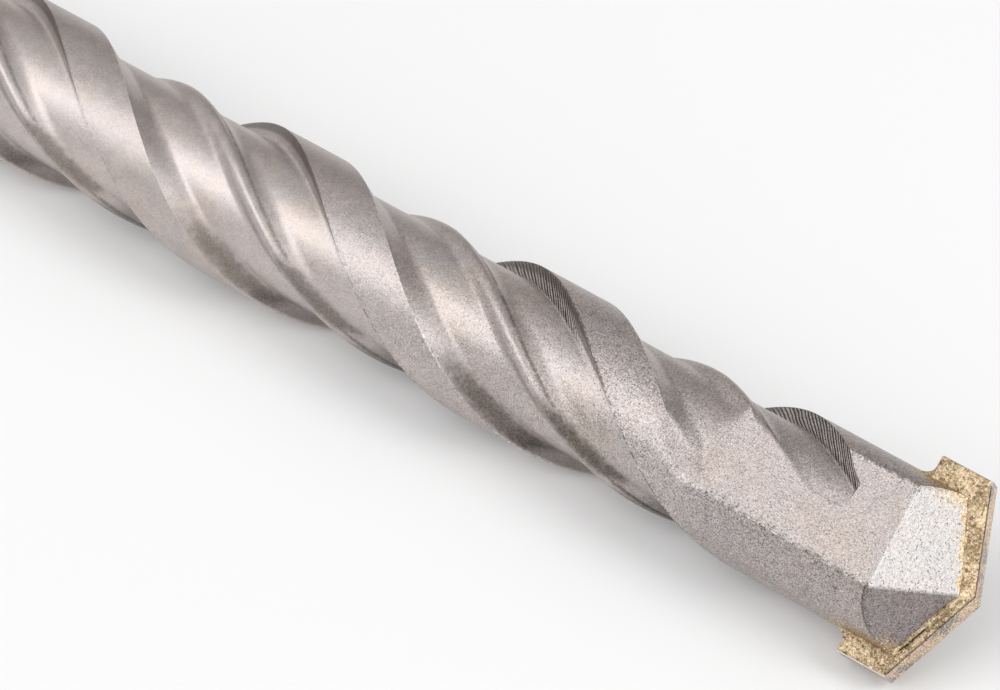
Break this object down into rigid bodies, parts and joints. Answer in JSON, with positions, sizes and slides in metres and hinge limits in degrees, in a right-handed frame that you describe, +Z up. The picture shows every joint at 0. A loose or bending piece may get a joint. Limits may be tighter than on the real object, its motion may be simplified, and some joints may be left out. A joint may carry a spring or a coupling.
{
  "type": "masonry drill bit",
  "caption": "Hammer drill bit with a slotted shank, right-hand double flutes with a low ridge in each, a faceted head and a brazed carbide cutting plate.",
  "frame": {"origin": "on the floor, under the middle of the bit as it lies", "axes": "+X along the bit's axis towards the cutting tip, +Z up"},
  "size_m": [0.16, 0.0112, 0.0103],
  "materials": {
    "steel": "shot-blasted, matt",
    "carbide": "ground sintered carbide with a thin gold-brown film",
    "braze": "as solidified, glittering"
  },
  "bodies": {
    "root": {"drill_body": "steel", "carbide_tip": "carbide", "braze": "braze"}
  },
  "joints": []
}
